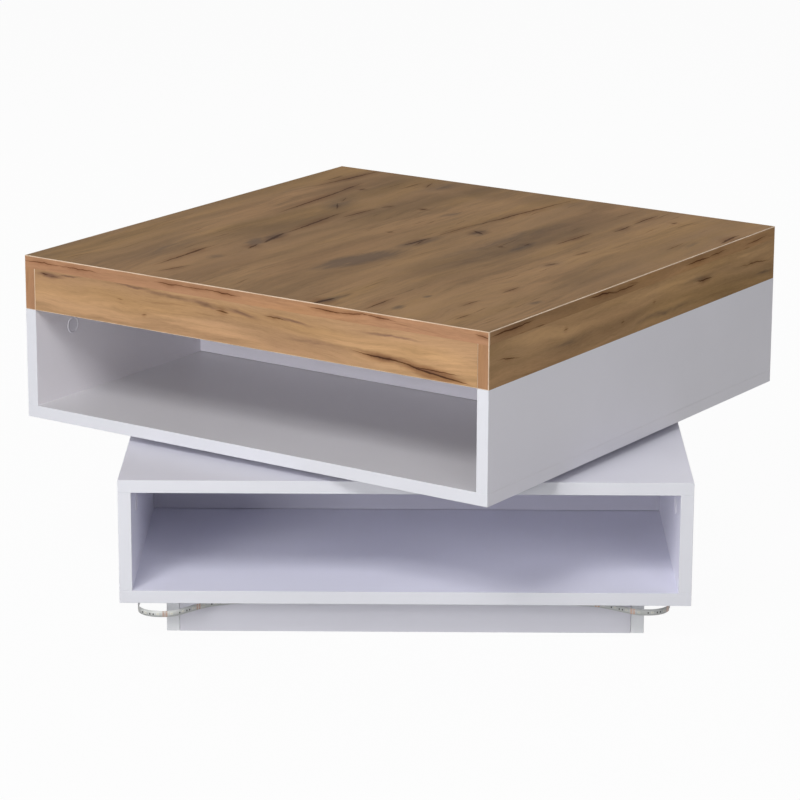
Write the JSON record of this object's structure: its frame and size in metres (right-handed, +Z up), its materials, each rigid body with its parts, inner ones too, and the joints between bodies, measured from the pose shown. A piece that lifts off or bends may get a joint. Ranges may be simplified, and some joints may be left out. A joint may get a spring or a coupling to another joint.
{
  "type": "swivel coffee table",
  "caption": "Square coffee table of open storage tiers; the wood-topped upper tier turns on a flat turntable over a fixed lower tier on a recessed plinth with a light strip.",
  "frame": {"origin": "on the floor, on the swivel's axis, at the middle of the plinth", "axes": "+Z up along the swivel's axis, -Y out of the front of the fixed lower tier, +X to its right; the upper tier rests turned by -33.8 degrees about +Z"},
  "size_m": [0.971, 0.971, 0.4325],
  "materials": {
    "white_laminate": "chipboard faced with smooth satin white melamine",
    "white_edge_band": "thin white edge band, satin",
    "oak_laminate": "chipboard faced with rustic golden oak decor, matt with open grain",
    "oak_edge_band": "thicker oak decor edge band with a paler rounded arris",
    "zinc_plated_steel": "zinc plated sheet and wire steel",
    "bright_steel": "ground hardened steel, lightly greased",
    "cam_zinc": "die-cast zinc alloy",
    "cap_plastic": "white moulded plastic",
    "cage_plastic": "black moulded plastic",
    "light_strip": "white flexible light strip with small yellow light chips and copper pads"
  },
  "bodies": {
    "base": {"light_strip": "light_strip", "lower_assembly_screws": "zinc_plated_steel", "lower_bottom_panel": "white_laminate", "lower_cam_bolts": "zinc_plated_steel", "lower_cam_caps": "cap_plastic", "lower_cams": "cam_zinc", "lower_divider": "white_laminate", "lower_edge_bands": "white_edge_band", "lower_left_wall": "white_laminate", "lower_right_wall": "white_laminate", "lower_top_panel": "white_laminate", "plinth_back_board": "white_laminate", "plinth_bracket_screws": "zinc_plated_steel", "plinth_brackets": "zinc_plated_steel", "plinth_edge_bands": "white_edge_band", "plinth_front_board": "white_laminate", "plinth_left_board": "white_laminate", "plinth_right_board": "white_laminate", "swivel_lower_plate": "zinc_plated_steel", "swivel_lower_screws": "zinc_plated_steel"},
    "roller_set": {"swivel_rollers": "bright_steel", "roller_cage": "cage_plastic"},
    "upper_tier": {"apron_back": "oak_laminate", "apron_bracket_screws": "zinc_plated_steel", "apron_brackets": "zinc_plated_steel", "apron_edge_bands": "oak_edge_band", "apron_front": "oak_laminate", "apron_left": "oak_laminate", "apron_right": "oak_laminate", "swivel_upper_plate": "zinc_plated_steel", "swivel_upper_screws": "zinc_plated_steel", "top_edge_bands": "oak_edge_band", "top_panel": "oak_laminate", "upper_assembly_screws": "zinc_plated_steel", "upper_bottom_panel": "white_laminate", "upper_cam_bolts": "zinc_plated_steel", "upper_cam_caps": "cap_plastic", "upper_cams": "cam_zinc", "upper_divider": "white_laminate", "upper_edge_bands": "white_edge_band", "upper_left_wall": "white_laminate", "upper_right_wall": "white_laminate"}
  },
  "joints": [
    {"name": "swivel", "type": "hinge", "parent": "base", "child": "upper_tier", "pos_m": [0, 0, 0.21575], "axis": [0, 0, 1], "continuous": true},
    {"name": "roller_orbit", "type": "hinge", "parent": "base", "child": "roller_set", "pos_m": [0, 0, 0.21575], "axis": [0, 0, 1], "continuous": true}
  ],
  "couplings": [
    {"joint": "roller_orbit", "follows": "swivel", "ratio": 0.5}
  ]
}
